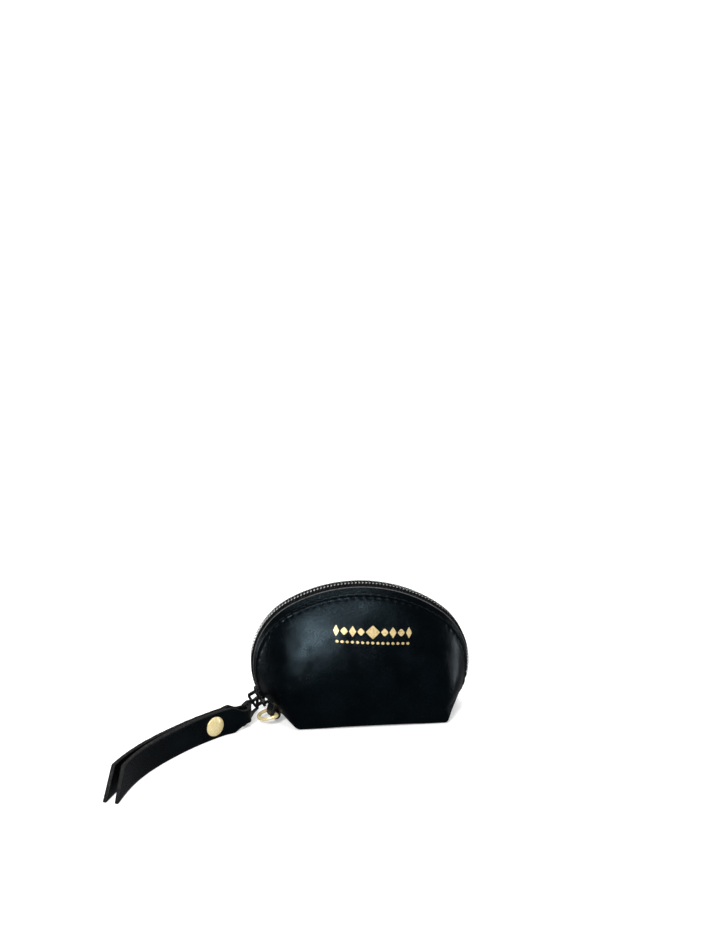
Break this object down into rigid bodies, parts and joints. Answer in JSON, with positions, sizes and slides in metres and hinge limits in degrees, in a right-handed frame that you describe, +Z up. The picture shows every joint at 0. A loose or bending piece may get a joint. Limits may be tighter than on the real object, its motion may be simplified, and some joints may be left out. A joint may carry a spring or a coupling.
{
  "type": "coin purse",
  "caption": "Small domed leather coin purse with a zip over its arch, a metal pull with a riveted leather strap, and a D-ring on a leather tab.",
  "frame": {"origin": "centre of the underside of the flat base", "axes": "+X along the purse towards the end away from the zip pull, -Y out of the front panel, +Z up"},
  "size_m": [0.1644, 0.1069, 0.0623],
  "materials": {
    "leather_black": "smooth glossy black leather with a blue-green cast",
    "lining_black": "woven cotton lining",
    "tape_black": "woven zip tape",
    "coil_black": "glossy nylon coil",
    "thread_black": "waxed thread",
    "metal_black": "black enamelled die-cast metal",
    "metal_gold": "polished pale gold plating"
  },
  "bodies": {
    "purse": {"back_panel": "leather_black", "left_gusset": "leather_black", "right_gusset": "leather_black", "base_panel": "leather_black", "back_lining": "lining_black", "base_lining": "lining_black", "back_zip_tape": "tape_black", "back_coil": "coil_black", "back_topstitch": "thread_black", "d_ring_tab": "leather_black"},
    "front": {"front_panel": "leather_black", "front_lining": "lining_black", "front_zip_tape": "tape_black", "front_coil": "coil_black", "front_topstitch": "thread_black"},
    "slider": {"slider_body": "metal_black", "slider_bridge": "metal_black"},
    "pull": {"pull_tab": "metal_black"},
    "strap": {"pull_strap": "leather_black", "rivet_cap": "metal_gold", "rivet_back": "metal_gold"},
    "ring": {"d_ring": "metal_gold"}
  },
  "joints": [
    {"name": "mouth_open", "type": "hinge", "parent": "purse", "child": "front", "pos_m": [0, -0.0235, 0.0013], "axis": [1, 0, 0], "range_deg": [0, 28], "deforming": ["front_coil", "front_zip_tape"]},
    {"name": "slider_travel", "type": "hinge", "parent": "purse", "child": "slider", "pos_m": [-0.02025, 0, 0.02472], "axis": [0, 1, 0], "range_deg": [0, 80], "deforming": ["back_coil", "back_zip_tape"]},
    {"name": "pull_swing", "type": "hinge", "parent": "slider", "child": "pull", "pos_m": [-0.05261, 0, 0.00678], "axis": [0, 1, 0], "range_deg": [-6, 30]},
    {"name": "strap_swing", "type": "hinge", "parent": "pull", "child": "strap", "pos_m": [-0.05882, -0.01651, 0.00609], "axis": [0.0392, 0.1043, 0.9938], "range_deg": [-40, 20]},
    {"name": "ring_swing", "type": "hinge", "parent": "purse", "child": "ring", "pos_m": [-0.0449, -0.0124, 0.0048], "axis": [-0.2993, 0.9503, -0.0856], "range_deg": [-6, 70]}
  ]
}
